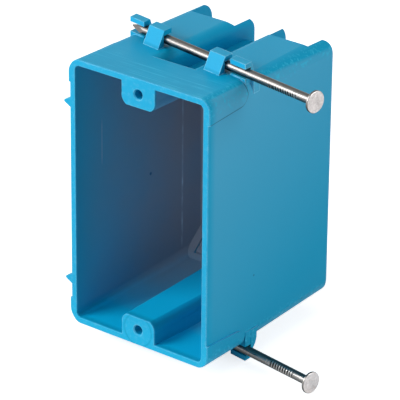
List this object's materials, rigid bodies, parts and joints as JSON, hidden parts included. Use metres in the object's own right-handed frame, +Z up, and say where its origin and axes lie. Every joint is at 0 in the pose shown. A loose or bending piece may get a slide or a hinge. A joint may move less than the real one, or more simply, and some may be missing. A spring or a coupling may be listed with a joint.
{
  "type": "new work outlet box",
  "caption": "Deep rectangular plastic outlet box, open at the front, with rear cable clamps, outside screw grooves and slanted nails held in hooks for fixing to a stud.",
  "frame": {"origin": "In the plane of the open front rim, midway between the two device screw holes", "axes": "+X away from the stud, towards the nail heads; +Y into the wall, from the rim to the rear wall; +Z up, along the line of the device screws"},
  "size_m": [0.0883, 0.0688, 0.1054],
  "materials": {
    "blue_plastic": "satin moulded",
    "nail_steel": "bright drawn wire"
  },
  "bodies": {
    "root": {"outlet_box": "blue_plastic", "upper_nail": "nail_steel", "lower_nail": "nail_steel"}
  },
  "joints": []
}
